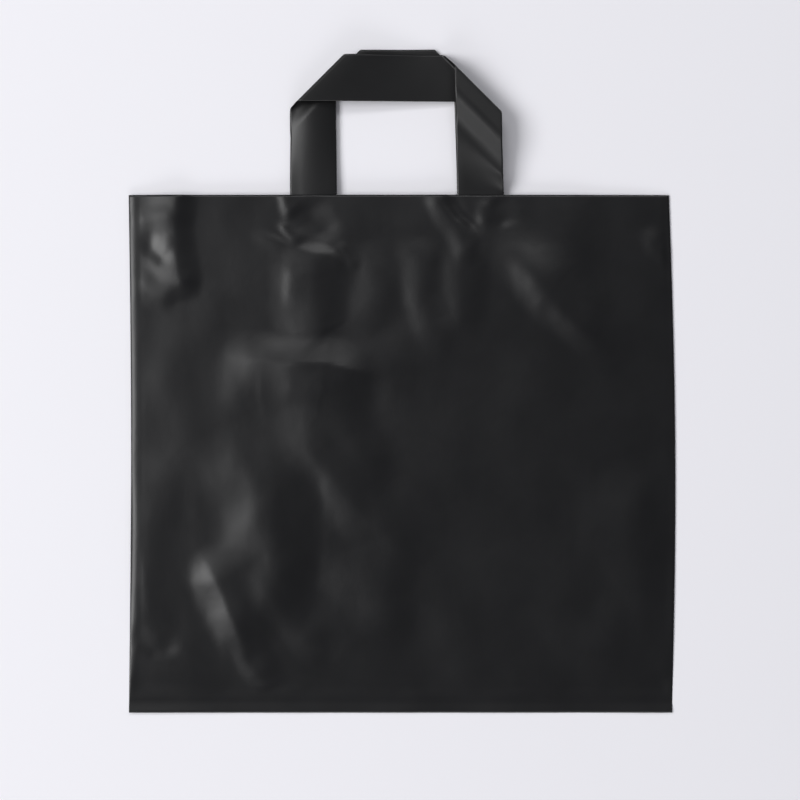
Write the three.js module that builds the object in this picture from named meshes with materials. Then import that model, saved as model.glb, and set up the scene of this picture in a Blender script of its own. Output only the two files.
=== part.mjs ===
// A plastic carrier bag with two soft loop handles, lying on its rear wall.
// The bag is one length of blown film tube: a front wall, a rear wall, a soft fold down each side,
// an open mouth, and a weld across the bottom with a narrow skirt of film below it. Each handle is
// one flat film strip, turned at two corners, with both ends inside the mouth on one wall.
// Millimetres, +Z up, the mouth and the handles towards +Y, the origin under the middle.
import * as THREE from "three";

// Driving dimensions.
const BAG_WIDTH = 450; // lay-flat width of the film tube
const BAG_HEIGHT = 431; // mouth edge to the skirt's cut edge
const SKIRT = 11; // film below the bottom weld
const FILM = 0.09; // wall of the tube
const SIDE_FOLD_RADIUS = 0.35; // the film's turn down each side
const PUFF = 14; // how high the air left inside lifts the front wall
const MOUTH_SHARE = 0.68; // the front wall's height at the mouth, as a share of PUFF
const STRIP_WIDTH = 39; // handle strip
const STRIP = 0.3; // handle strip's thickness
const LEG_SPACING = 139; // between the middles of a handle's legs
const HANDLE_RISE = 116.5; // the front handle above the mouth edge
const REAR_EXTRA_RISE = 4.5; // the rear handle stands this much further out
const HANDLE_OFFSET = -4.3; // the handles' middle from the bag's middle
const SEAL_DEPTH = 56; // strip inside the mouth
const CLEARANCE = 0.3; // air between two pieces that touch
const FACET_SAG = 0.4; // how far a flat facet of the front wall may cut below its curve
const LEFT_BEND = 2.5; // bends of the front handle's left turn, the leg under the bar
const LEFT_GAPE = 10.6; // how far that turn stays open
const RIGHT_BEND = 2.5; // outer bends of its right turn, the leg over the bar
const RIGHT_LEAN = 1; // how far the right leg leans outwards on its way to the mouth
const REAR_LEAN = 2.5; // and the rear handle's right leg
const LEG_ARCH = 0.45; // half angle of the left legs' arched section, in radians
const MOUTH_ARCH = 0.45; // share of it that is left at the mouth
const LAYER_PITCH = 0.9; // between the layers of a flat turn
const LEFT_TIP = 11.5; // how far the rear handle's left corner is tucked under itself
const RIGHT_TIP = 9; // and its right corner

// Worked out from them.
const LENGTH = BAG_HEIGHT + HANDLE_RISE + REAR_EXTRA_RISE;
const BOTTOM_Y = -LENGTH / 2;
const MOUTH_Y = BOTTOM_Y + BAG_HEIGHT;
const WELD_SHARE = 1 - SKIRT / BAG_HEIGHT; // of the way from the mouth to the cut edge
const HALF_STRIP = STRIP_WIDTH / 2;
const HALF_SPACING = LEG_SPACING / 2;

const smooth = (t) => {
  const c = Math.min(1, Math.max(0, t));
  return c * c * (3 - 2 * c);
};
const mix = (a, b, t) => a + (b - a) * t;

// ---- The bag's body -------------------------------------------------------------------------

const RIGHT_BOW = 4; // the right side fold swells outwards
const RIGHT_SPREAD = 2.5; // and the bottom is a little wider than the mouth
const LEFT_WAIST = 2; // the left side fold draws in
const WIDEST_BOW = 5.3; // the right side's furthest reach, taken off so that the bag is centred

// The side folds' places at a share of the way down from the mouth.
function sides(share) {
  const swell = Math.sin(Math.PI * share);
  const centring = WIDEST_BOW / 2;
  return {
    left: -BAG_WIDTH / 2 + LEFT_WAIST * swell - centring,
    right: BAG_WIDTH / 2 + RIGHT_BOW * swell + RIGHT_SPREAD * share - centring,
  };
}

// The front wall's outer height above the floor.
function frontHeight(x, y) {
  const share = Math.min(WELD_SHARE, Math.max(0, (MOUTH_Y - y) / BAG_HEIGHT));
  const { left, right } = sides(share);
  const across = (2 * x - left - right) / (right - left);
  const start = Math.asin(MOUTH_SHARE) / Math.PI;
  const along = Math.sin(Math.PI * mix(start, 1, share / WELD_SHARE));
  const crown = 1 - Math.min(1, Math.abs(across)) ** 3;
  return 2 * SIDE_FOLD_RADIUS + PUFF * along * crown;
}

const COLUMNS = 22;
const FOLD_STEPS = 2;

// One closed ring around the tube: the rear wall from left to right, then the front wall back.
// inset moves it inwards from the film's outer face.
function ring(share, inset, radius, height) {
  const y = MOUTH_Y - BAG_HEIGHT * share;
  const { left, right } = sides(share);
  const lower = [];
  const upper = [];
  const turn = (x, side, angle) => {
    const reach = (radius - inset) * Math.sin(angle);
    const drop = (radius - inset) * Math.cos(angle);
    lower.push([x + side * reach, y, radius - drop]);
    upper.push([x + side * reach, y, height(x, y) - radius + drop]);
  };
  for (let i = FOLD_STEPS; i > 0; i--) {
    turn(left + radius, -1, (i / FOLD_STEPS) * (Math.PI / 2));
  }
  for (let i = 0; i <= COLUMNS; i++) {
    const spread = Math.sin((Math.PI / 2) * ((2 * i) / COLUMNS - 1));
    const x = mix(left + radius, right - radius, (spread + 1) / 2);
    lower.push([x, y, inset]);
    upper.push([x, y, height(x, y) - inset]);
  }
  for (let i = 1; i <= FOLD_STEPS; i++) {
    turn(right - radius, 1, (i / FOLD_STEPS) * (Math.PI / 2));
  }
  return [...lower, ...upper.slice(1, -1).reverse()];
}

// A body gathers points and faces.
class Body {
  positions = [];
  faces = [];

  add(points) {
    const first = this.positions.length / 3;
    points.forEach((p) => this.positions.push(...p));
    return points.map((_, i) => first + i);
  }

  quad(a, b, c, d) {
    this.faces.push(a, b, c, a, c, d);
  }

  // Joins two closed rings of equal length.
  loft(from, to) {
    for (let i = 0; i < from.length; i++) {
      const next = (i + 1) % from.length;
      this.quad(from[i], from[next], to[next], to[i]);
    }
  }

  // Closes a flat ring by pairing its lower points with its upper ones.
  close(ids, outwards) {
    const half = ids.length / 2;
    for (let i = 0; i < half; i++) {
      const a = ids[i];
      const b = ids[i + 1];
      const c = ids[(ids.length - i - 1) % ids.length];
      const d = ids[(ids.length - i) % ids.length];
      const corners = [a, b, c, d].filter((v, k, all) => all.indexOf(v) === k);
      const order = outwards ? corners : corners.reverse();
      for (let k = 2; k < order.length; k++) this.faces.push(order[0], order[k - 1], order[k]);
    }
  }

  geometry() {
    const made = new THREE.BufferGeometry();
    made.setAttribute("position", new THREE.Float32BufferAttribute(this.positions, 3));
    made.setIndex(this.faces);
    made.computeVertexNormals();
    return made;
  }
}

const ROWS = 18;

function bagBody() {
  const body = new Body();
  const rowShare = (i) => (WELD_SHARE * (1 - Math.cos((Math.PI * i) / ROWS))) / 2;
  const rows = Array.from({ length: ROWS + 1 }, (_, i) => rowShare(i));
  const outer = rows.map((share) => body.add(ring(share, 0, SIDE_FOLD_RADIUS, frontHeight)));
  const inner = rows.map((share) => body.add(ring(share, FILM, SIDE_FOLD_RADIUS, frontHeight)));
  const skirtShares = [WELD_SHARE + 1 / BAG_HEIGHT, 1];
  const skirt = skirtShares.map((share) => body.add(ring(share, 0, FILM, () => 2 * FILM)));
  const outside = [...outer, ...skirt];
  for (let i = 1; i < outside.length; i++) body.loft(outside[i - 1], outside[i]);
  for (let i = 1; i < inner.length; i++) body.loft(inner[i], inner[i - 1]);
  body.loft(inner[0], outer[0]);
  body.close(skirt[1], true);
  body.close(inner[inner.length - 1], false);
  return body.geometry();
}

// ---- The handles ----------------------------------------------------------------------------

// A turn's section across its fold line: stretches of film that run straight or bend evenly.
class Turn {
  // stretches: [length, bend in radians, positive upwards]; level is the bar's height there.
  constructor(stretches, level) {
    this.stretches = stretches;
    this.level = level;
    this.length = stretches.reduce((sum, [length]) => sum + length, 0);
    this.leaves = this.at(this.length);
  }

  // How far out and how far up the film is, a length of film past the turn's start.
  at(distance) {
    let left = distance;
    let [out, up, heading] = [0, 0, 0];
    for (const [length, bend] of this.stretches) {
      const run = Math.min(left, length);
      const swing = (bend * run) / length;
      const radius = length / bend;
      out += bend ? radius * (Math.sin(heading + swing) - Math.sin(heading)) : run * Math.cos(heading);
      up += bend ? radius * (Math.cos(heading) - Math.cos(heading + swing)) : run * Math.sin(heading);
      heading += swing;
      left -= run;
      if (left <= 0) break;
    }
    return { out, up };
  }

  // Lengths at which a coarse mesh needs a station.
  marks() {
    const places = [0];
    let start = 0;
    for (const [length, bend] of this.stretches) {
      const steps = bend ? Math.max(4, Math.round(Math.sqrt(length) * 1.6)) : 1;
      for (let i = 1; i <= steps; i++) places.push(start + (length * i) / steps);
      start += length;
    }
    return places;
  }
}

const QUARTER = Math.PI / 2;

// An open turn downwards: a bend, a steep outer face, and a bend back under it.
function downward(bend, gape, level) {
  const quarter = [bend * QUARTER, -QUARTER];
  return new Turn([quarter, [gape - 2 * bend, 0], quarter], level);
}

// A loose turn upwards: up the outer face, back along a rising face, over a crest and down.
function upward(bend, level) {
  const rising = 1.35;
  const over = 0.64;
  const stretches = [
    [bend * QUARTER, QUARTER],
    [10, 0],
    [bend * rising, rising],
    [9, 0],
    [9, over],
    [8, 0],
    [9, QUARTER - rising - over],
  ];
  return new Turn(stretches, level);
}

// A flat turn whose corner is tucked under itself: four layers, the leg next to the bar.
function tucked(tip, level) {
  const outer = Math.PI * 1.5 * LAYER_PITCH;
  const tight = (Math.PI * LAYER_PITCH) / 2;
  const stretches = [
    [outer, -Math.PI],
    [tip, 0],
    [tight, -Math.PI],
    [tip, 0],
    [tight, Math.PI],
  ];
  return new Turn(stretches, level);
}

// Across an arched leg of that half angle: how far out and how far down its film is at v.
function archedSection(arch, v) {
  if (arch < FLAT_ARCH) return { span: v, droop: 0 };
  const radius = HALF_STRIP / arch;
  return { span: radius * Math.sin(v / radius), droop: radius * (1 - Math.cos(v / radius)) };
}

const FLAT_ARCH = 1e-4; // below this half angle a leg counts as flat
const BAR_GAP = 6; // from the bar's last cross line to its turn
const BAR_STATIONS = 5;
const LEG_STATIONS = 16;
const SLANT_SHARE = 0.55; // of a leg, over which its cross lines turn from slanted to square
const ACROSS = 6; // cells across the strip
const NUDGE = 0.02; // how far apart two points are that give the surface's direction
const ARCH_EASE = 18; // below its turn, where a leg takes its arch
const SEAL_EASE = 30; // inside the mouth, where an arched leg flattens against its wall

// A handle is a strip whose flat pattern has u along the bar and v across it. side is -1 for the
// left turn and 1 for the right one.
class Handle {
  // rise: the bar's outer edge above the mouth; turns and legs are given as [left, right].
  constructor({ rise, turns, sag, leans, arches, wallHeight, freeLength }) {
    this.barY = MOUTH_Y + rise - HALF_STRIP;
    this.legLength = rise - HALF_STRIP + SEAL_DEPTH;
    Object.assign(this, { turns, sag, leans, arches, wallHeight, freeLength });
    this.corners = leans.map((lean) => HALF_SPACING - lean);
  }

  // Where the flat pattern's middle line meets the start of a turn.
  start(side) {
    const index = side < 0 ? 0 : 1;
    const turn = this.turns[index];
    return this.corners[index] - (turn.length + turn.leaves.out) / Math.SQRT2;
  }

  // The film past the start of a turn, measured square to its fold line.
  past(side, u, v) {
    return (side * u + v - this.start(side)) / Math.SQRT2;
  }

  // The bar's height: from one turn's level to the other's, with a sag between them.
  barHeight(u, v) {
    const [left, right] = this.turns;
    const fromLeft = Math.max(0, -this.past(-1, u, v));
    const fromRight = Math.max(0, -this.past(1, u, v));
    const share = fromLeft / (fromLeft + fromRight);
    const sag = this.sag * Math.sin(Math.PI * share) ** 2;
    return mix(left.level, right.level, smooth(share)) - sag;
  }

  // A point of the strip's middle surface.
  at(u, v) {
    const side = u < 0 ? -1 : 1;
    const index = side < 0 ? 0 : 1;
    const turn = this.turns[index];
    const past = this.past(side, u, v);
    if (past <= 0) return this.place(u, v, this.barHeight(u, v));
    if (past < turn.length) {
      const { out, up } = turn.at(past);
      const shift = (out - past) / Math.SQRT2;
      return this.place(u + side * shift, v + shift, turn.level + up);
    }
    return this.legPoint(side, index, side * u, v);
  }

  // A point of a leg; along is the flat pattern's distance from the bar's middle.
  legPoint(side, index, along, v) {
    const turn = this.turns[index];
    const corner = this.corners[index];
    const y = corner - along;
    const mouth = MOUTH_Y - this.barY;
    const ends = v + (turn.leaves.out - turn.length) / Math.SQRT2;
    const lean = this.leans[index] * smooth((ends - y) / (ends - mouth));
    const x = corner - v + lean;
    const freeStart = Math.min(ends, this.freeLength[index]);
    const done = smooth((freeStart - y) / (freeStart - mouth));
    const inside = smooth((mouth - y) / SEAL_EASE);
    const opened = smooth((ends - y) / ARCH_EASE) * (1 - inside);
    const arch = this.arches[index] * opened * mix(1, MOUTH_ARCH, done);
    const { span, droop } = archedSection(arch, v);
    const lift = archedSection(arch, HALF_STRIP).droop * (1 - done);
    const seatArch = this.arches[index] * MOUTH_ARCH * (1 - inside);
    const seatY = Math.min(MOUTH_Y, this.barY + y);
    const seat = this.wallHeight(HANDLE_OFFSET + side * x, seatY, seatArch);
    const height = mix(turn.level + turn.leaves.up, seat, done) + lift - droop;
    return this.place(side * (corner - span + lean), y, height);
  }

  place(x, y, z) {
    return new THREE.Vector3(HANDLE_OFFSET + x, this.barY + y, z);
  }

  // Cross lines u = c + k v from the left leg's end to the right one's, slanted through the turns.
  crossLines() {
    return [...this.halfLines(-1).reverse(), [0, 0], ...this.halfLines(1)];
  }

  // The cross lines from the bar's middle to one leg's end.
  halfLines(side) {
    const index = side < 0 ? 0 : 1;
    const turn = this.turns[index];
    const start = this.start(side);
    const end = start + Math.SQRT2 * turn.length;
    const last = this.corners[index] + this.legLength;
    const lines = [];
    for (let i = 1; i <= BAR_STATIONS; i++) {
      const share = i / BAR_STATIONS;
      lines.push([side * mix(0, start - BAR_GAP, share), -side * share]);
    }
    turn.marks().forEach((mark) => lines.push([side * (start + Math.SQRT2 * mark), -side]));
    for (let i = 1; i <= LEG_STATIONS; i++) {
      const share = i / LEG_STATIONS;
      const slant = 1 - smooth(share / SLANT_SHARE);
      lines.push([side * mix(end, last, share), -side * slant]);
    }
    return lines;
  }

  geometry() {
    const body = new Body();
    const rings = this.crossLines().map(([c, k]) => body.add(this.section(c, k)));
    for (let i = 1; i < rings.length; i++) body.loft(rings[i - 1], rings[i]);
    this.cutEnd(body, [...rings[0]].reverse());
    this.cutEnd(body, rings[rings.length - 1]);
    return body.geometry();
  }

  // The strip's closed section along a cross line: its under face, then its upper face back.
  section(c, k) {
    const upper = [];
    const under = [];
    for (let j = 0; j <= ACROSS; j++) {
      const v = mix(-HALF_STRIP, HALF_STRIP, j / ACROSS);
      const u = c + k * v;
      const along = this.at(u + NUDGE, v).sub(this.at(u - NUDGE, v));
      const over = this.at(u + k * NUDGE, v + NUDGE).sub(this.at(u - k * NUDGE, v - NUDGE));
      const half = along.cross(over).normalize().multiplyScalar(STRIP / 2);
      upper.push(this.at(u, v).add(half).toArray());
      under.push(this.at(u, v).sub(half).toArray());
    }
    return [...under, ...upper.reverse()];
  }

  // Closes the strip where it was cut to length.
  cutEnd(body, ids) {
    for (let j = 0; j < ACROSS; j++) {
      const far = ids.length - 1 - j;
      body.quad(ids[j], ids[j + 1], ids[far - 1], ids[far]);
    }
  }
}

// ---- The pieces -----------------------------------------------------------------------------

const BLACK = 0x1d1e20;

function named(name, geometry, roughness) {
  const finish = new THREE.MeshStandardMaterial({ color: BLACK, roughness, metalness: 0 });
  const mesh = new THREE.Mesh(geometry, finish);
  mesh.name = name;
  return mesh;
}

const REAR_LEVEL = STRIP / 2 + 3 * LAYER_PITCH; // the rear handle's bar over its tucked corners
const FRONT_LEVEL = REAR_LEVEL + LAYER_PITCH + 0.5;

const frontHandle = new Handle({
  rise: HANDLE_RISE,
  turns: [downward(LEFT_BEND, LEFT_GAPE, FRONT_LEVEL + LEFT_GAPE), upward(RIGHT_BEND, FRONT_LEVEL)],
  sag: 0,
  leans: [0, RIGHT_LEAN],
  arches: [LEG_ARCH, 0],
  wallHeight: (x, y) => frontHeight(x, y) - FILM - STRIP / 2 - CLEARANCE - FACET_SAG,
  freeLength: [-HALF_STRIP, Infinity],
});

const rearSeat = FILM + CLEARANCE + STRIP / 2;

const rearHandle = new Handle({
  rise: HANDLE_RISE + REAR_EXTRA_RISE,
  turns: [tucked(LEFT_TIP, REAR_LEVEL), tucked(RIGHT_TIP, REAR_LEVEL)],
  sag: 1,
  leans: [0, REAR_LEAN],
  arches: [LEG_ARCH, 0],
  wallHeight: (x, y, arch) => rearSeat + archedSection(arch, HALF_STRIP).droop,
  freeLength: [-HALF_STRIP - 6, -HALF_STRIP - 6],
});

const bag = new THREE.Group();
bag.add(named("bag_body", bagBody(), 0.38));
bag.add(named("front_handle", frontHandle.geometry(), 0.42));
bag.add(named("rear_handle", rearHandle.geometry(), 0.42));

export default bag;
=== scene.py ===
"""The finished look of a black film carrier bag, lying on a pale table with its handles at the top.

The bag is a length of blown film tube with a weld across the bottom, and each of its two handles is
one flat strip, turned at two corners and sealed inside the mouth. All lengths in the classes are in
millimetres; meshes are written in metres.
"""

import logging
import math
from collections.abc import Sequence
from dataclasses import dataclass
from enum import Enum

import bpy
import numpy as np
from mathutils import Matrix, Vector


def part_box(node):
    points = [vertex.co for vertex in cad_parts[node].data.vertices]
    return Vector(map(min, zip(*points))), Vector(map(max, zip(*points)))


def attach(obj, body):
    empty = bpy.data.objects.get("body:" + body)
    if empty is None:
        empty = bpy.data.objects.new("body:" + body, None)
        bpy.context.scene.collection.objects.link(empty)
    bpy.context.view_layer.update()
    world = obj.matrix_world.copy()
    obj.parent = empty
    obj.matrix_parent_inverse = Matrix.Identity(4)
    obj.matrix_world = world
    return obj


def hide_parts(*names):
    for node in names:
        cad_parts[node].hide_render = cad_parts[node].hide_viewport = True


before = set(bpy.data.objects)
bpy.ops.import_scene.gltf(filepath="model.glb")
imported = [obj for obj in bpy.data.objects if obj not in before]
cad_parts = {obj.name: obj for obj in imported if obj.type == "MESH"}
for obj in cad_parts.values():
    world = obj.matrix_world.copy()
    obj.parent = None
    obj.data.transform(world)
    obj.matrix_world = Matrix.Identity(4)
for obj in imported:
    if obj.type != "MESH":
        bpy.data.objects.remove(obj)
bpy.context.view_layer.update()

LOG = logging.getLogger("carrier_bag")
MM = 0.001
CRISP_POWER = 1.6  # how steeply a crisp crease rises to its crest
Array = np.ndarray


# ---- Small helpers --------------------------------------------------------------------------------


def linear(hex_colour: str) -> tuple[float, float, float, float]:
    """Turn an sRGB hex colour into a linear one.

    Args:
        hex_colour: six hex digits, such as "1a1a1c".

    Returns:
        Red, green, blue and an alpha of 1.
    """
    channels = [int(hex_colour[i:i + 2], 16) / 255 for i in (0, 2, 4)]
    low, high = 12.92, 1.055
    r, g, b = (c / low if c <= 0.04045 else ((c + 0.055) / high) ** 2.4 for c in channels)
    return r, g, b, 1.0


def shade(hex_colour: str, times: float) -> tuple[float, float, float, float]:
    """Make an sRGB hex colour lighter or darker.

    Args:
        hex_colour: six hex digits.
        times: how many times as light it becomes.

    Returns:
        Linear red, green, blue and an alpha of 1.
    """
    r, g, b, alpha = linear(hex_colour)
    return r * times, g * times, b * times, alpha


def ease(t: Array | float) -> Array:
    """Go from 0 to 1 with flat ends as t goes from 0 to 1."""
    c = np.clip(t, 0.0, 1.0)
    return c * c * (3 - 2 * c)


def mix(a: Array | float, b: Array | float, share: Array | float) -> Array:
    """Blend from a to b."""
    return a + (b - a) * share


def add_node(tree: bpy.types.NodeTree, kind: str, settings: dict | None = None,
             inputs: dict | None = None) -> bpy.types.Node:
    """Add a node to a tree.

    Args:
        tree: the node tree.
        kind: the node's type name.
        settings: attributes of the node itself.
        inputs: for each input socket, a value, or an output socket to link from.

    Returns:
        The new node.
    """
    node = tree.nodes.new(kind)
    for name, value in (settings or {}).items():
        setattr(node, name, value)
    for name, value in (inputs or {}).items():
        socket = node.inputs[name]
        if isinstance(value, bpy.types.NodeSocket):
            tree.links.new(value, socket)
        else:
            socket.default_value = value
    return node


def swirl(x: Array, y: Array, size: float, seed: int) -> Array:
    """Smooth seeded noise over a plane.

    Args:
        x: places across, in millimetres.
        y: places along, in millimetres.
        size: the distance between neighbouring swells, in millimetres.
        seed: picks the pattern.

    Returns:
        Heights from about -1 to 1.
    """
    grid, shift_x, shift_y, gain = 64, 0.37, 0.71, 1.5
    turns = np.random.default_rng(seed).uniform(0, 2 * math.pi, (grid, grid))
    gx, gy = x / size + shift_x * seed, y / size + shift_y * seed
    ix, iy = np.floor(gx).astype(int), np.floor(gy).astype(int)
    fx, fy = gx - ix, gy - iy
    total = np.zeros_like(gx)
    for dx in (0, 1):
        for dy in (0, 1):
            angle = turns[(ix + dx) % grid, (iy + dy) % grid]
            slope = np.cos(angle) * (fx - dx) + np.sin(angle) * (fy - dy)
            weight = ease(1 - np.abs(fx - dx)) * ease(1 - np.abs(fy - dy))
            total += weight * slope
    return total * gain


def grid_object(name: str, rows: Array, closed: bool, pattern: Array) -> bpy.types.Object:
    """Make a mesh from rows of points.

    Args:
        name: the piece's name.
        rows: points in millimetres, as rows x points x 3.
        closed: whether each row is a closed ring.
        pattern: the same rows x points x 2 in the flat film, in millimetres, kept as the UV map.

    Returns:
        The new object, at the origin.
    """
    count, width = rows.shape[:2]
    ids = np.arange(count * width).reshape(count, width)
    here = ids if closed else ids[:, :-1]
    across = np.roll(ids, -1, axis=1) if closed else ids[:, 1:]
    faces = np.stack([here[:-1], across[:-1], across[1:], here[1:]], axis=-1).reshape(-1, 4)
    ends = [ids[0][::-1].tolist(), ids[-1].tolist()] if closed else []
    mesh = bpy.data.meshes.new(name)
    mesh.from_pydata((rows.reshape(-1, 3) * MM).tolist(), [], faces.tolist() + ends)
    layer = mesh.uv_layers.new(name="flat_pattern")
    loops = np.empty(len(mesh.loops), dtype=np.int32)
    mesh.loops.foreach_get("vertex_index", loops)
    layer.data.foreach_set("uv", (pattern.reshape(-1, 2)[loops] * MM).astype(np.float32).ravel())
    mesh.polygons.foreach_set("use_smooth", [True] * len(mesh.polygons))
    piece = bpy.data.objects.new(name, mesh)
    bpy.context.scene.collection.objects.link(piece)
    return piece


# ---- Finishes -------------------------------------------------------------------------------------


@dataclass(frozen=True)
class BlownFilm:
    """Black polyethylene film, blown and left unprinted.

    The resin is pigmented right through, so what the eye gets is almost only the sheen: a soft
    satin highlight, broken by the faint crinkle that a thin film keeps after it has been folded.
    """

    name: str
    colour: str
    roughness: float
    roughness_swing: float
    crinkle_depth_mm: float
    crinkle_size_mm: float
    draw_line_depth_mm: float
    draw_line_pitch_mm: float = 1.6
    draw_line_stretch: float = 0.06
    patch_size_mm: float = 55.0
    lighter_patch: float = 1.35
    ior: float = 1.51

    def material(self) -> bpy.types.Material:
        """Build the procedural material.

        Returns:
            The material, which reads only object coordinates and the film's own flat pattern.
        """
        made = bpy.data.materials.new(self.name)
        made.use_nodes = True
        tree = made.node_tree
        tree.nodes.clear()
        coords = add_node(tree, "ShaderNodeTexCoord")
        patch = add_node(tree, "ShaderNodeTexNoise", {"noise_dimensions": "3D"},
                         {"Vector": coords.outputs["Object"], "Scale": 1 / (self.patch_size_mm * MM),
                          "Detail": 3.0, "Roughness": 0.55})
        sheen = add_node(tree, "ShaderNodeMapRange", {},
                         {"Value": patch.outputs["Fac"], "From Min": 0.3, "From Max": 0.7,
                          "To Min": self.roughness - self.roughness_swing,
                          "To Max": self.roughness + self.roughness_swing})
        tone = add_node(tree, "ShaderNodeMix", {"data_type": "RGBA"},
                        {"Factor": patch.outputs["Fac"]})
        tone.inputs[6].default_value = linear(self.colour)
        tone.inputs[7].default_value = shade(self.colour, self.lighter_patch)
        crinkle = add_node(tree, "ShaderNodeTexNoise", {"noise_dimensions": "3D"},
                           {"Vector": coords.outputs["Object"],
                            "Scale": 1 / (self.crinkle_size_mm * MM),
                            "Detail": 4.0, "Roughness": 0.5})
        stretch = add_node(tree, "ShaderNodeMapping", {},
                           {"Vector": coords.outputs["UV"], "Scale": (1.0, self.draw_line_stretch, 1.0)})
        lines = add_node(tree, "ShaderNodeTexNoise", {"noise_dimensions": "2D"},
                         {"Vector": stretch.outputs["Vector"],
                          "Scale": 1 / (self.draw_line_pitch_mm * MM), "Detail": 2.0})
        relief = add_node(tree, "ShaderNodeBump", {},
                          {"Height": crinkle.outputs["Fac"], "Strength": 1.0,
                           "Distance": self.crinkle_depth_mm * MM})
        drawn = add_node(tree, "ShaderNodeBump", {},
                         {"Height": lines.outputs["Fac"], "Strength": 1.0,
                          "Distance": self.draw_line_depth_mm * MM,
                          "Normal": relief.outputs["Normal"]})
        shader = add_node(tree, "ShaderNodeBsdfPrincipled", {},
                          {"Base Color": tone.outputs[2], "Roughness": sheen.outputs["Result"],
                           "IOR": self.ior, "Normal": drawn.outputs["Normal"]})
        add_node(tree, "ShaderNodeOutputMaterial", {}, {"Surface": shader.outputs["BSDF"]})
        return made


@dataclass(frozen=True)
class PaintedBoard:
    """Pale matt board under the bag.

    It gives the eye a barely cool off-white without a sheen, and a faint unevenness.
    """

    name: str = "matt painted board"
    colour: str = "f5f4f9"
    darker_patch: float = 0.985
    patches_per_metre: float = 2.2
    roughness: float = 0.85
    ior: float = 1.45

    def material(self) -> bpy.types.Material:
        """Build the procedural material.

        Returns:
            The material, which reads only object coordinates.
        """
        made = bpy.data.materials.new(self.name)
        made.use_nodes = True
        tree = made.node_tree
        tree.nodes.clear()
        coords = add_node(tree, "ShaderNodeTexCoord")
        cloud = add_node(tree, "ShaderNodeTexNoise", {"noise_dimensions": "3D"},
                         {"Vector": coords.outputs["Object"], "Scale": self.patches_per_metre,
                          "Detail": 2.0})
        tone = add_node(tree, "ShaderNodeMix", {"data_type": "RGBA"},
                        {"Factor": cloud.outputs["Fac"]})
        tone.inputs[6].default_value = linear(self.colour)
        tone.inputs[7].default_value = shade(self.colour, self.darker_patch)
        shader = add_node(tree, "ShaderNodeBsdfPrincipled", {},
                          {"Base Color": tone.outputs[2], "Roughness": self.roughness,
                           "IOR": self.ior})
        add_node(tree, "ShaderNodeOutputMaterial", {}, {"Surface": shader.outputs["BSDF"]})
        return made


class Finish(Enum):
    """The finishes of the pieces: the tube's crinkled film, and the strips' smoother, duller one."""

    TUBE_FILM = BlownFilm("black blown film", "08080a", 0.37, 0.03, 0.10, 9.0, 0.004)
    STRIP_FILM = BlownFilm("black film strip", "0b0b0c", 0.39, 0.03, 0.06, 7.0, 0.010)


# ---- The bag's body -------------------------------------------------------------------------------


@dataclass(frozen=True)
class Swell:
    """A soft unevenness: its height in mm, the mm from one to the next, and its seed.

    squeeze below 1 draws it out down the bag.
    """

    height: float
    size: float
    seed: int
    squeeze: float = 1.0

    def at(self, x: Array, depth: Array) -> Array:
        """Its height at each place.

        Args:
            x: mm right of the bag's middle.
            depth: mm down from the mouth.

        Returns:
            Heights in mm.
        """
        return self.height * swirl(x, depth * self.squeeze, self.size, self.seed)


@dataclass(frozen=True)
class Crease:
    """A ridge or a furrow pressed into the film.

    line runs through points (mm right of the bag's middle, mm down from the mouth). The left flank
    is the one on the left hand, or lower left, of a line that runs down the bag. A negative height
    is a furrow. left and right are the reach of the flanks in mm. sharp goes from 0, a rounded
    crest, to 1, a crisp one. fade is the share of the line over which each end dies away.
    """

    line: tuple[tuple[float, float], ...]
    height: float
    left: float
    right: float
    sharp: float = 0.0
    fade: float = 0.3

    def relief(self, x: Array, depth: Array) -> Array:
        """Height that the crease adds at each place.

        Args:
            x: mm right of the bag's middle.
            depth: mm down from the mouth.

        Returns:
            Heights in mm.
        """
        points = np.array(self.line, dtype=float)
        steps = np.diff(points, axis=0)
        lengths = np.hypot(steps[:, 0], steps[:, 1])
        total = lengths.sum()
        nearest = np.full(x.shape, 1e9)
        side = np.zeros(x.shape)
        along = np.zeros(x.shape)
        done = 0.0
        for (px, pd), (sx, sd), length in zip(points[:-1], steps, lengths):
            t = np.clip(((x - px) * sx + (depth - pd) * sd) / length ** 2, 0, 1)
            gap_x, gap_d = x - px - t * sx, depth - pd - t * sd
            gap = np.hypot(gap_x, gap_d)
            closer = gap < nearest
            nearest = np.where(closer, gap, nearest)
            side = np.where(closer, sx * gap_d - sd * gap_x, side)
            along = np.where(closer, (done + t * length) / total, along)
            done += length
        reach = np.where(side > 0, self.left, self.right)
        q = 1 - np.clip(nearest / reach, 0, 1)
        crest = mix(ease(q), q ** CRISP_POWER, self.sharp)
        ends = ease(along / self.fade) * ease((1 - along) / self.fade)
        return self.height * crest * ends


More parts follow.
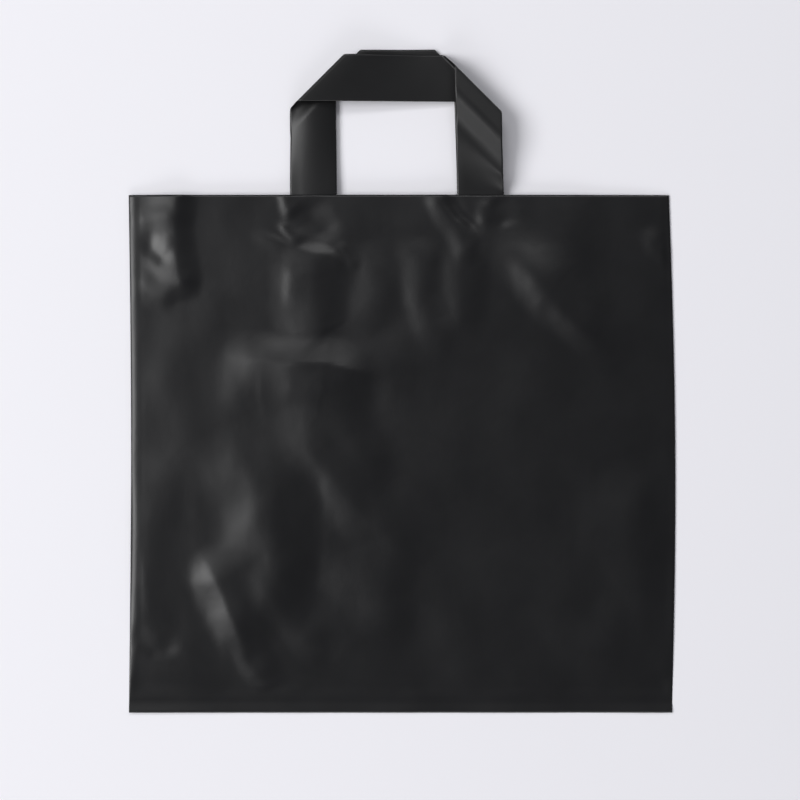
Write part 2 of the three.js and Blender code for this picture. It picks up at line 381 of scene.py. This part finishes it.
@dataclass
class FilmTube:
    """The bag's body: a length of film tube, open at the mouth and welded across the bottom.

    Pairs are (left, right). puff is how high the air inside lifts the front wall, and mouth_share is
    the share of it that is left at the mouth. The side folds are pressed flat over the last part of
    the way to the weld. The creases and swells die away within edge_room of each side, as a share of
    half the width, and within weld_room of the weld.
    """

    height: float
    mouth_y: float
    width: float = 450.0
    skirt: float = 11.0
    film: float = 0.09
    fold_height: tuple[float, float] = (3.6, 1.6)
    fold_reach: tuple[float, float] = (8.0, 3.0)
    weld_fold: float = 0.6
    puff: float = 11.0
    mouth_share: float = 0.68
    pressed_from: float = 0.86
    crown_power: float = 2.2
    edge_room: float = 0.035
    weld_room: float = 14.0
    left_waist: float = 2.0
    right_bow: float = 4.0
    right_spread: float = 2.5
    centring: float = 2.65
    front_columns: int = 200
    rear_columns: int = 40
    fold_steps: int = 6
    fine_until: float = 116.0
    fine_step: float = 1.8
    coarse_from: float = 118.0
    coarse_step: float = 2.9
    skirt_steps: tuple[float, ...] = (0.12, 0.35, 0.6, 0.8, 1.0)
    creases: tuple[Crease, ...] = ()
    swells: tuple[Swell, ...] = (Swell(1.0, 70, 3, 0.6), Swell(0.5, 31, 5, 0.7))
    wander_across: tuple[Swell, ...] = (Swell(5.0, 44, 21), Swell(1.2, 17, 22))
    wander_along: tuple[Swell, ...] = (Swell(5.0, 47, 23), Swell(1.2, 19, 24))
    uneven: Swell = Swell(0.22, 40, 25)
    right_calm: float = 0.6
    calm_from: float = -90.0
    calm_over: float = 180.0
    skirt_curl: float = 0.9
    curl_power: float = 1.3
    corner_curl: float = 0.9
    corner_from: float = -130.0
    corner_over: float = 40.0
    skirt_lift: float = 0.05
    skirt_ripple: Swell = Swell(0.5, 46, 9)

    def sides(self, share: Array) -> tuple[Array, Array]:
        """Find the side folds.

        Args:
            share: how far down the tube, from 0 at the mouth to 1 at the cut edge.

        Returns:
            Places of the left and of the right fold's outside, in mm.
        """
        swell = np.sin(math.pi * share)
        left = -self.width / 2 + self.left_waist * swell - self.centring
        right = self.width / 2 + self.right_bow * swell + self.right_spread * share
        return left, right - self.centring

    def weld_share(self) -> float:
        """The bottom weld's share of the way down."""
        return 1 - self.skirt / self.height

    def fold(self, share: Array) -> tuple[Array, Array]:
        """Find how high the side folds stand: soft at the mouth, pressed flat at the weld.

        Args:
            share: how far down the tube, from 0 at the mouth to 1 at the cut edge.

        Returns:
            Heights of the left and of the right fold, in mm.
        """
        pressed = ease((share / self.weld_share() - self.pressed_from) / (1 - self.pressed_from))
        left, right = (mix(height, self.weld_fold, pressed) for height in self.fold_height)
        return left, right

    def front_height(self, x: Array, y: Array) -> Array:
        """Height of the front wall's outer face above the table, creases and all.

        Args:
            x: places across, in mm.
            y: places along, in mm.

        Returns:
            Heights in mm.
        """
        depth = np.clip(self.mouth_y - y, 0, self.height - self.skirt)
        share = depth / self.height
        left, right = self.sides(share)
        across = np.clip((2 * x - left - right) / (right - left), -1, 1)
        edge = mix(*self.fold(share), (across + 1) / 2)
        start = math.asin(self.mouth_share) / math.pi
        along = np.sin(math.pi * mix(start, 1, share / self.weld_share()))
        crown = 1 - np.abs(across) ** self.crown_power
        base = edge + (self.puff - edge) * along * crown
        room = ease((1 - np.abs(across)) / self.edge_room)
        room = room * ease((self.height - self.skirt - depth) / self.weld_room)
        return base + self.relief(x, depth) * room

    def relief(self, x: Array, depth: Array) -> Array:
        """Creases and soft swells of the front wall, which are calmer on the right.

        Args:
            x: mm right of the bag's middle.
            depth: mm down from the mouth.

        Returns:
            Heights in mm.
        """
        calm = mix(1.0, self.right_calm, ease((x - self.calm_from) / self.calm_over))
        total = calm * sum(swell.at(x, depth) for swell in self.swells)
        bent_x = x + sum(swell.at(x, depth) for swell in self.wander_across)
        bent_depth = depth + sum(swell.at(x, depth) for swell in self.wander_along)
        uneven = 1 + self.uneven.at(x, depth)
        for crease in self.creases:
            total = total + uneven * crease.relief(bent_x, bent_depth)
        return total

    def ring(self, share: float, inset: float) -> tuple[Array, Array]:
        """One closed ring round the tube: the rear wall rightwards, then the front wall back.

        Args:
            share: how far down the tube, from 0 at the mouth to 1 at the cut edge.
            inset: how far inside the film's outer face.

        Returns:
            The ring's points in mm, and the same in the flat film.
        """
        y = self.mouth_y - self.height * share
        left, right = self.sides(np.array(share))
        tall_left, tall_right = (float(tall) for tall in self.fold(np.array(share)))
        reach_left = self.fold_reach[0] * tall_left / self.fold_height[0]
        reach_right = self.fold_reach[1] * tall_right / self.fold_height[1]
        angles = np.linspace(0, math.pi, 2 * self.fold_steps + 1)[1:-1]
        out, up = np.sin(angles), np.cos(angles)
        rear_x = np.linspace(left + reach_left, right - reach_right, self.rear_columns + 1)
        front_x = np.linspace(right - reach_right, left + reach_left, self.front_columns + 1)
        front_z = self.front_height(front_x, np.full_like(front_x, y))
        rear = np.stack([rear_x, np.full_like(rear_x, inset)], axis=-1)
        front = np.stack([front_x, front_z - inset], axis=-1)
        half_right, half_left = front_z[0] / 2, front_z[-1] / 2
        right_x = right - reach_right + (reach_right - inset) * out
        left_x = left + reach_left - (reach_left - inset) * out
        right_fold = np.stack([right_x, half_right - (half_right - inset) * up], axis=-1)
        left_fold = np.stack([left_x, half_left + (half_left - inset) * up], axis=-1)
        flat = np.concatenate([rear, right_fold, front, left_fold])
        points = np.stack([flat[:, 0], np.full(len(flat), y), flat[:, 1]], axis=-1)
        gaps = np.linalg.norm(np.diff(points, axis=0), axis=1)
        unrolled = np.concatenate([[0.0], np.cumsum(gaps)])
        pattern = np.stack([unrolled, np.full(len(flat), self.height * share)], axis=-1)
        return points, pattern

    def shares(self) -> list[float]:
        """Shares at which the tube has a ring, closer together over the puckers at the mouth."""
        fine = np.arange(0, self.fine_until, self.fine_step)
        coarse = np.arange(self.coarse_from, self.height - self.skirt - 1, self.coarse_step)
        return [float(d) / self.height for d in (*fine, *coarse)] + [self.weld_share()]

    def build(self) -> bpy.types.Object:
        """Make the film body as one closed mesh.

        Returns:
            The body's object.
        """
        shares = self.shares()
        outer = [self.ring(s, 0.0) for s in shares]
        inner = [self.ring(s, self.film) for s in shares]
        skirt = [self.skirt_ring(outer[-1], t) for t in self.skirt_steps]
        order = [*inner[::-1], *outer, *skirt]
        rows = np.stack([points for points, _ in order])
        pattern = np.stack([flat for _, flat in order])
        return grid_object("bag_film", rows, True, pattern)

    def skirt_ring(self, weld: tuple[Array, Array], t: float) -> tuple[Array, Array]:
        """A ring of the skirt, whose two layers lie pressed together below the weld.

        Args:
            weld: the last ring above the skirt.
            t: how far down the skirt, from 0 at the weld to 1 at the cut edge.

        Returns:
            The ring's points and flat pattern.
        """
        points, pattern = weld[0].copy(), weld[1].copy()
        x, z = points[:, 0], points[:, 2]
        curl = self.skirt_curl + self.corner_curl * ease((self.corner_from - x) / self.corner_over)
        curl = curl + self.skirt_ripple.at(x, np.zeros_like(x))
        lift = self.skirt_lift * t + curl * t ** self.curl_power
        sheet = z / max(float(z.max()), 1e-6) * 2 * self.film
        points[:, 1] -= self.skirt * t
        points[:, 2] = mix(z, sheet, ease(t / self.skirt_steps[0])) + lift
        pattern[:, 1] += self.skirt * t
        return points, pattern


# ---- The handles ----------------------------------------------------------------------------------


@dataclass(frozen=True)
class Turn:
    """A handle's turn, as its section across the fold line.

    stretches are (length, bend in radians, positive upwards); level is the bar's height there.
    """

    stretches: tuple[tuple[float, float], ...]
    level: float

    @property
    def length(self) -> float:
        """Length of film in the turn."""
        return sum(length for length, _ in self.stretches)

    def at(self, distance: Array) -> tuple[Array, Array]:
        """Follow the film past the turn's start.

        Args:
            distance: how far along the film.

        Returns:
            How far out and how far up the film is.
        """
        left = np.clip(distance, 0, self.length)
        out, up, heading = (np.zeros_like(left) for _ in range(3))
        for length, bend in self.stretches:
            run = np.clip(left, 0, length)
            swing = bend * run / length
            if bend:
                radius = length / bend
                out = out + radius * (np.sin(heading + swing) - np.sin(heading))
                up = up + radius * (np.cos(heading) - np.cos(heading + swing))
            else:
                out = out + run * np.cos(heading)
                up = up + run * np.sin(heading)
            heading = heading + swing
            left = left - run
        return out, up

    @property
    def leaves(self) -> tuple[float, float]:
        """How far out and how far up the film is where it leaves the turn."""
        out, up = self.at(np.array(self.length))
        return float(out), float(up)

    @staticmethod
    def downward(bend: float, gape: float, level: float) -> "Turn":
        """An open turn downwards: a bend, an upright outer face, and a bend back under it.

        Args:
            bend: radius of both bends, in mm.
            gape: how far the turn stays open.
            level: the bar's height there.

        Returns:
            The turn.
        """
        quarter = (bend * math.pi / 2, -math.pi / 2)
        return Turn((quarter, (gape - 2 * bend, 0.0), quarter), level)

    @staticmethod
    def upward(bend: float, level: float) -> "Turn":
        """A loose turn upwards: up the outer face, back along a rising face, over and down.

        Args:
            bend: radius of the outer bends, in mm.
            level: the bar's height there.

        Returns:
            The turn, which leaves level again.
        """
        rising, over = 1.35, 0.64
        outer_face, rising_face, top, way_down, last = 10.0, 9.0, 9.0, 8.0, 9.0
        stretches = (
            (bend * math.pi / 2, math.pi / 2),
            (outer_face, 0.0),
            (bend * rising, rising),
            (rising_face, 0.0),
            (top, over),
            (way_down, 0.0),
            (last, math.pi / 2 - rising - over),
        )
        return Turn(stretches, level)

    @staticmethod
    def tucked(tip: float, pitch: float, level: float) -> "Turn":
        """A flat turn whose corner is tucked under itself.

        Args:
            tip: how far the corner is tucked under, in mm.
            pitch: from one layer of film to the next.
            level: the bar's height there.

        Returns:
            The turn, four layers thick, with the leg next to the bar.
        """
        outer, tight = math.pi * 1.5 * pitch, math.pi * pitch / 2
        bends = ((outer, -math.pi), (tip, 0.0), (tight, -math.pi), (tip, 0.0), (tight, math.pi))
        return Turn(bends, level)


@dataclass
class StripHandle:
    """A soft loop handle: one flat strip, turned at two corners, its ends inside the mouth.

    The strip's flat pattern has u along the bar and v across it. Pairs are (left, right). rise is
    from the mouth to the bar's top edge. free_length is where a leg starts to come down to its wall,
    from the bar's middle line. leans is how far a leg leans outwards on its way, arches is the half
    angle of its arched section in radians, and mouth_arch the share of it left at the mouth.
    """

    name: str
    rise: float
    turns: tuple[Turn, Turn]
    sag: float
    free_length: tuple[float, float]
    tube: FilmTube
    in_front: bool
    leans: tuple[float, float] = (0.0, 0.0)
    width: float = 39.0
    thickness: float = 0.14
    half_spacing: float = 69.5
    offset: float = -4.3
    seal_depth: float = 56.0
    clearance: float = 0.3
    arches: tuple[float, float] = (0.45, 0.0)
    mouth_arch: float = 0.45
    arch_ease: float = 18.0
    seal_ease: float = 30.0
    across: int = 28
    bar_lines: int = 28
    turn_lines: int = 60
    leg_lines: int = 120
    bar_end: float = 6.0
    slant_until: float = 0.55

    @property
    def bar_y(self) -> float:
        """The bar's middle line."""
        return self.tube.mouth_y + self.rise - self.width / 2

    @property
    def leg_length(self) -> float:
        """From the bar's middle line to a leg's end."""
        return self.rise - self.width / 2 + self.seal_depth

    @property
    def flat_length(self) -> float:
        """Length of the strip before it is turned."""
        return 2 * (self.half_spacing + self.leg_length)

    def droop(self, arch: Array, v: Array) -> tuple[Array, Array]:
        """Follow the film across an arched leg.

        Args:
            arch: half angle of the leg's section, in radians.
            v: places across the strip.

        Returns:
            How far out and how far down the film is.
        """
        bend = np.maximum(arch, 1e-4)
        radius = self.width / 2 / bend
        return radius * np.sin(v / radius), radius * (1 - np.cos(v / radius))

    def wall_height(self, x: Array, y: Array, arch: Array) -> Array:
        """Height at which a leg lies against its wall.

        Args:
            x: places across, in mm.
            y: places along, in mm.
            arch: half angle of the leg's section there.

        Returns:
            Heights of the strip's middle surface, in mm.
        """
        if self.in_front:
            under = self.tube.film + self.thickness / 2 + 2 * self.clearance
            return self.tube.front_height(x, y) - under
        resting = self.tube.film + self.clearance + self.thickness / 2
        return resting + self.droop(arch, np.full_like(arch, self.width / 2))[1]

    def middle(self, u: Array, v: Array) -> Array:
        """The strip's middle surface.

        Args:
            u: places along the bar in the flat pattern, in mm.
            v: places across it.

        Returns:
            Points in mm.
        """
        right = u >= 0
        half = [self.half(side, u, v) for side in (-1, 1)]
        return np.where(right[..., None], half[1], half[0])

    def corner(self, side: int) -> float:
        """From the bar's middle to a leg's middle line, where the leg leaves its turn."""
        return self.half_spacing - self.leans[0 if side < 0 else 1]

    def start(self, side: int) -> float:
        """Where the flat pattern's middle line meets the start of a turn."""
        turn = self.turns[0 if side < 0 else 1]
        return self.corner(side) - (turn.length + turn.leaves[0]) / math.sqrt(2)

    def past(self, side: int, u: Array, v: Array) -> Array:
        """How far past the start of a turn the film is, measured square to its fold line.

        Args:
            side: -1 for the left turn, 1 for the right one.
            u: places along the bar in the flat pattern, in mm.
            v: places across it.

        Returns:
            Distances in mm, negative on the bar.
        """
        return (side * u + v - self.start(side)) / math.sqrt(2)

    def bar_height(self, u: Array, v: Array) -> Array:
        """The bar's height: from one turn's level to the other's, with a sag between them.

        Args:
            u: places along the bar in the flat pattern, in mm.
            v: places across it.

        Returns:
            Heights in mm.
        """
        from_left = np.maximum(0, -self.past(-1, u, v))
        from_right = np.maximum(0, -self.past(1, u, v))
        share = from_left / np.maximum(from_left + from_right, 1e-6)
        sag = self.sag * np.sin(math.pi * share) ** 2
        return mix(self.turns[0].level, self.turns[1].level, ease(share)) - sag

    def half(self, side: int, u: Array, v: Array) -> Array:
        """One half of the middle surface, as if its bar went on for ever.

        Args:
            side: -1 for the left half, 1 for the right one.
            u: places along the bar in the flat pattern, in mm.
            v: places across it.

        Returns:
            Points in mm.
        """
        turn = self.turns[0 if side < 0 else 1]
        past = self.past(side, u, v)
        bar = np.stack([u, v, self.bar_height(u, v)], axis=-1)
        out, up = turn.at(past)
        shift = (out - past) / math.sqrt(2)
        folded = np.stack([u + side * shift, v + shift, turn.level + up], axis=-1)
        leg = self.leg(side, turn, side * u, v)
        flat = np.where((past <= 0)[..., None], bar, folded)
        found = np.where((past >= turn.length)[..., None], leg, flat)
        return found + np.array([self.offset, self.bar_y, 0.0])

    def leg(self, side: int, turn: Turn, along: Array, v: Array) -> Array:
        """One leg, from its turn to its end inside the mouth.

        Args:
            side: -1 for the left leg, 1 for the right one.
            turn: the turn it comes from.
            along: places along the flat pattern, outwards from the bar's middle.
            v: places across it.

        Returns:
            Points in mm, from the bar's middle.
        """
        index = 0 if side < 0 else 1
        out, up = turn.leaves
        corner = self.corner(side)
        y = corner - along
        mouth = self.tube.mouth_y - self.bar_y
        ends = v + (out - turn.length) / math.sqrt(2)
        lean = self.leans[index] * ease((ends - y) / (ends - mouth))
        begin = np.minimum(ends, self.free_length[index])
        done = ease((begin - y) / (begin - mouth))
        inside = ease((mouth - y) / self.seal_ease)
        opened = ease((ends - y) / self.arch_ease) * (1 - inside)
        arch = self.arches[index] * opened * mix(1, self.mouth_arch, done)
        span, droop = self.droop(arch, v)
        lift = self.droop(arch, np.full_like(arch, self.width / 2))[1] * (1 - done)
        x = self.offset + side * (corner - v + lean)
        seat_y = np.minimum(self.tube.mouth_y, self.bar_y + y)
        seat = self.wall_height(x, seat_y, self.arches[index] * self.mouth_arch * (1 - inside))
        height = mix(turn.level + up, seat, done) + lift - droop
        return np.stack([side * (corner - span + lean), y, height], axis=-1)

    def cross_lines(self) -> Array:
        """Cross lines u = c + k v, as rows of (c, k), from the left leg's end to the right one's."""
        left, right = self.half_lines(-1), self.half_lines(1)
        return np.concatenate([-left[::-1], [[0.0, 0.0]], right])

    def half_lines(self, side: int) -> Array:
        """Cross lines from the bar's middle to one leg's end: upright on the bar, slanting at its turn.

        Args:
            side: -1 for the left half, 1 for the right one.

        Returns:
            Rows of (c, k), as on the right hand side.
        """
        turn = self.turns[0 if side < 0 else 1]
        start = self.start(side)
        end = start + math.sqrt(2) * turn.length
        last = self.corner(side) + self.leg_length
        bar = np.linspace(0, 1, self.bar_lines)[1:]
        bend = np.linspace(0, 1, self.turn_lines)
        leg = np.linspace(0, 1, self.leg_lines)[1:]
        lines = [np.stack([(start - self.bar_end) * bar, -bar], axis=-1)]
        lines.append(np.stack([start + (end - start) * bend, -np.ones_like(bend)], axis=-1))
        slant = 1 - ease(leg / self.slant_until)
        lines.append(np.stack([mix(end, last, leg), -slant], axis=-1))
        return np.concatenate(lines)

    def build(self) -> bpy.types.Object:
        """Make the strip as one closed mesh.

        Returns:
            The handle's object.
        """
        lines = self.cross_lines()
        v = np.linspace(-self.width / 2, self.width / 2, self.across + 1)[None, :]
        v = np.broadcast_to(v, (len(lines), self.across + 1))
        u = lines[:, :1] + lines[:, 1:] * v
        points = self.middle(u, v)
        along = np.gradient(points, axis=0)
        over = np.gradient(points, axis=1)
        normal = np.cross(along, over)
        normal /= np.linalg.norm(normal, axis=-1, keepdims=True)
        half = normal * self.thickness / 2
        ring = np.concatenate([points - half, (points + half)[:, ::-1]], axis=1)
        flat = np.stack([u, v], axis=-1)
        pattern = np.concatenate([flat, flat[:, ::-1]], axis=1)
        return grid_object(self.name, ring, True, pattern)


# ---- The bag as it lies ---------------------------------------------------------------------------


def pressed_creases() -> tuple[Crease, ...]:
    """Creases of the front wall: where it was folded, stacked and pulled by its handles.

    Returns:
        The creases, listed group by group from the mouth down.
    """
    upper_left = (
        Crease(((-186, -24), (-186, 30), (-184, 92)), 3.9, 40, 17, 0.2, 0.2),
        Crease(((-228, 22), (-206, 20), (-180, 20)), 1.0, 16, 14, 0.0, 0.3),
        Crease(((-196, 32), (-193, 46), (-190, 62)), 0.4, 9, 10, 0.0, 0.3),
        Crease(((-214, 30), (-208, 46), (-198, 54), (-184, 50)), -0.9, 9, 9, 0.0, 0.3),
        Crease(((-226, 70), (-206, 80), (-186, 88)), 1.0, 16, 14, 0.0, 0.3),
    )
    left_weld = (
        Crease(((-100, -8), (-94, 8), (-86, 20)), 1.3, 8, 11, 0.3, 0.3),
        Crease(((-96, 18), (-90, 29), (-82, 42)), 1.2, 8, 11, 0.3, 0.3),
        Crease(((-126, 34), (-94, 41), (-62, 52), (-38, 70)), 1.1, 14, 10, 0.2, 0.3),
        Crease(((-78, 0), (-72, 22), (-58, 40)), -1.4, 16, 18, 0.0, 0.3),
        Crease(((-58, 38), (-48, 50), (-38, 64)), 0.8, 7, 10, 0.2, 0.3),
    )
    bands = (
        Crease(((-78, 36), (-74, 80), (-70, 116), (-54, 132)), 2.0, 38, 30, 0.0, 0.3),
        Crease(((-90, 50), (-90, 94)), 0.5, 9, 14, 0.1, 0.4),
        Crease(((-24, 36), (-23, 80), (-26, 120)), 1.5, 22, 24, 0.0, 0.35),
        Crease(((16, 32), (16, 84), (22, 108), (42, 128)), 1.5, 22, 20, 0.0, 0.25),
        Crease(((50, 32), (50, 84), (48, 128)), 1.7, 24, 30, 0.0, 0.3),
    )
    right_weld = (
        Crease(((27, -12), (40, 20), (62, 56)), 1.9, 16, 13, 0.1, 0.25),
        Crease(((38, -6), (47, 14), (66, 32)), -1.0, 8, 10, 0.1, 0.3),
        Crease(((67, 0), (65, 14), (63, 30)), 0.9, 8, 11, 0.1, 0.35),
        Crease(((76, 0), (82, 16), (86, 32)), -1.0, 11, 18, 0.0, 0.3),
    )
    long_right = (
        Crease(((84, 26), (120, 82), (192, 142)), 4.9, 27, 40, 0.0, 0.34),
        Crease(((200, 24), (211, 44), (232, 66)), 1.3, 13, 18, 0.0, 0.35),
    )
    middle = (
        Crease(((-158, 138), (-116, 138), (-62, 142), (-4, 156)), 6.8, 62, 30, 0.6, 0.42),
        Crease(((-16, 112), (-6, 146), (-6, 188)), 1.2, 22, 26, 0.0, 0.4),
        Crease(((-106, 180), (-82, 204), (-58, 230), (-36, 262), (20, 310)), 3.0, 30, 60, 0.0, 0.3),
        Crease(((-66, 172), (-36, 204), (-14, 244)), 0.8, 18, 24, 0.0, 0.4),
    )
    lower_left = (
        Crease(((-130, 184), (-108, 252), (-105, 300), (-126, 364)), 4.6, 56, 42, 0.0, 0.32),
        Crease(((-168, 292), (-155, 322), (-140, 352), (-124, 386)), 4.8, 26, 46, 0.3, 0.35),
        Crease(((-142, 356), (-129, 388), (-106, 416)), 2.0, 12, 24, 0.3, 0.35),
        Crease(((-126, 306), (-94, 346), (-58, 388)), 1.8, 22, 34, 0.0, 0.3),
        Crease(((-24, 290), (-24, 348), (-58, 398)), 2.4, 48, 40, 0.0, 0.3),
        Crease(((-222, 216), (-218, 290), (-208, 366)), 2.4, 16, 42, 0.0, 0.4),
        Crease(((-234, 364), (-208, 378), (-182, 378)), -1.2, 10, 16, 0.0, 0.3),
    )
    faint = (
        Crease(((190, 216), (192, 268), (194, 322)), 3.0, 50, 34, 0.0, 0.4),
        Crease(((194, 284), (200, 330), (192, 394)), 1.8, 48, 26, 0.0, 0.4),
        Crease(((142, -20), (142, 40), (144, 110)), 1.4, 34, 32, 0.0, 0.4),
        Crease(((116, 290), (150, 350), (200, 410)), 1.4, 44, 40, 0.0, 0.4),
    )
    weld = (
        Crease(((-236, 411), (0, 412), (240, 411)), -0.6, 7, 14, 0.0, 0.05),
    )
    groups = (upper_left, left_weld, bands, right_weld, long_right, middle, lower_left, faint, weld)
    return tuple(crease for group in groups for crease in group)


@dataclass
class CarrierBag:
    """The whole bag: a film tube and two strip handles.

    The bends, gape, leans and tips are the sizes of the four turns. layer_pitch is from one layer of a
    flat turn to the next, rear_layers is how many layers the rear corners have, and handle_air is the
    air between the two handles. front_free and rear_free are the legs' free lengths.
    """

    tube: FilmTube
    rear_rise: float
    front_drop: float = 4.5
    layer_pitch: float = 0.9
    rear_layers: int = 4
    strip: float = 0.3
    left_bend: float = 2.5
    left_gape: float = 10.6
    right_bend: float = 2.5
    right_lean: float = 1.0
    rear_lean: float = 2.5
    left_tip: float = 11.5
    right_tip: float = 9.0
    front_sag: float = 0.0
    rear_sag: float = 1.0
    handle_air: float = 0.5
    front_free: float = -19.5
    rear_free: float = -25.5

    def front_handle(self) -> StripHandle:
        """The front handle: the left leg turned under the bar, the right one loosely over it."""
        level = self.strip / 2 + self.rear_layers * self.layer_pitch + self.handle_air
        turns = (Turn.downward(self.left_bend, self.left_gape, level + self.left_gape),
                 Turn.upward(self.right_bend, level))
        rise = self.rear_rise - self.front_drop
        free = (self.front_free, math.inf)
        return StripHandle("front_strip", rise, turns, self.front_sag, free,
                           self.tube, True, (0.0, self.right_lean))

    def rear_handle(self) -> StripHandle:
        """The rear handle, which lies flat with both corners tucked in."""
        level = self.strip / 2 + (self.rear_layers - 1) * self.layer_pitch
        turns = (Turn.tucked(self.left_tip, self.layer_pitch, level),
                 Turn.tucked(self.right_tip, self.layer_pitch, level))
        free = (self.rear_free, self.rear_free)
        return StripHandle("rear_strip", self.rear_rise, turns, self.rear_sag, free,
                           self.tube, False, (0.0, self.rear_lean))

    def build(self) -> None:
        """Build and dress every piece."""
        film, strip = Finish.TUBE_FILM.value.material(), Finish.STRIP_FILM.value.material()
        body = self.tube.build()
        self.dress(body, film, "bag_body")
        front, rear = self.front_handle(), self.rear_handle()
        for handle, node in ((front, "front_handle"), (rear, "rear_handle")):
            piece = handle.build()
            self.dress(piece, strip, node)

    def dress(self, piece: bpy.types.Object, finish: bpy.types.Material, node: str) -> None:
        """Give a piece its finish, hang it on the root body and hide the CAD node it stands for.

        Args:
            piece: the finished mesh object.
            finish: its material.
            node: the CAD node it stands for.
        """
        piece.data.materials.append(finish)
        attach(piece, "root")
        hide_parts(node)
        LOG.info("%s: %d faces, stands for %s", piece.name, len(piece.data.polygons), node)


# ---- The studio -----------------------------------------------------------------------------------


@dataclass(frozen=True)
class SoftBox:
    """A soft light that looks at the bag: angles in degrees, lengths in metres, power in watts."""

    name: str
    azimuth: float
    elevation: float
    distance: float
    size: tuple[float, float]
    power: float
    colour: str = "ffffff"

    def place(self) -> bpy.types.Object:
        """Make the light. Azimuth 0 is to the right of the bag, and 180 to its left."""
        lamp = bpy.data.lights.new(self.name, "AREA")
        lamp.shape = "RECTANGLE"
        lamp.size, lamp.size_y = self.size
        lamp.energy = self.power
        lamp.color = linear(self.colour)[:3]
        made = bpy.data.objects.new(self.name, lamp)
        a, e = math.radians(self.azimuth), math.radians(self.elevation)
        made.location = [self.distance * c for c in
                         (math.cos(a) * math.cos(e), math.sin(a) * math.cos(e), math.sin(e))]
        made.rotation_euler = (-made.location).to_track_quat("-Z", "Y").to_euler()
        bpy.context.scene.collection.objects.link(made)
        return made


@dataclass
class Studio:
    """A pale table, one large soft light from the left, and a camera straight above.

    view_width and centre are in mm; camera_height and table are in metres.
    """

    view_width: float = 666.7
    centre: tuple[float, float] = (-1.7, -15.6)
    camera_height: float = 3.0
    table: float = 5.0
    sky: float = 0.2
    sky_colour: str = "f2f4fb"
    sensor_mm: float = 36.0
    key: SoftBox = SoftBox("key_soft_box", 180, 45, 5.5, (3.6, 3.0), 240)
    fills: tuple[SoftBox, ...] = (
        SoftBox("top_fill", 92, 52, 5.0, (3.2, 1.1), 52),
        SoftBox("bottom_fill", 265, 28, 4.5, (3.0, 1.6), 36),
    )

    def build(self) -> None:
        """Build the table, the lights and the camera."""
        half = self.table / 2
        mesh = bpy.data.meshes.new("table_top")
        corners = [(-half, -half, 0), (half, -half, 0), (half, half, 0), (-half, half, 0)]
        mesh.from_pydata(corners, [], [(0, 1, 2, 3)])
        mesh.materials.append(PaintedBoard().material())
        top = bpy.data.objects.new("table_top", mesh)
        bpy.context.scene.collection.objects.link(top)
        for light in (self.key, *self.fills):
            light.place()
        self.light_room()
        self.aim_camera()

    def light_room(self) -> None:
        """Light the room evenly and dimly."""
        world = bpy.data.worlds.new("studio room")
        world.use_nodes = True
        back = world.node_tree.nodes["Background"]
        back.inputs["Color"].default_value = linear(self.sky_colour)
        back.inputs["Strength"].default_value = self.sky
        scene = bpy.context.scene
        scene.world = world
        scene.view_settings.view_transform = "Standard"
        scene.view_settings.look = "None"

    def aim_camera(self) -> None:
        """Put a long lens straight above the bag."""
        camera = bpy.data.cameras.new("camera")
        camera.sensor_width = self.sensor_mm
        camera.lens = camera.sensor_width * self.camera_height / (self.view_width * MM)
        made = bpy.data.objects.new("camera", camera)
        made.location = (self.centre[0] * MM, self.centre[1] * MM, self.camera_height)
        bpy.context.scene.collection.objects.link(made)
        bpy.context.scene.camera = made


def fitted_bag() -> CarrierBag:
    """Size and place the bag by its CAD nodes: the tube's length, its mouth and the handles' rise.

    Returns:
        The bag, not built yet.
    """
    low, high = (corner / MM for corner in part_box("bag_body"))
    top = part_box("rear_handle")[1].y / MM
    tube = FilmTube(high.y - low.y, high.y, creases=pressed_creases())
    return CarrierBag(tube, top - high.y)


def main() -> None:
    """Build the bag, then the studio."""
    logging.basicConfig(level=logging.INFO, format="%(name)s: %(message)s")
    fitted_bag().build()
    Studio().build()


if __name__ == "__main__":
    main()
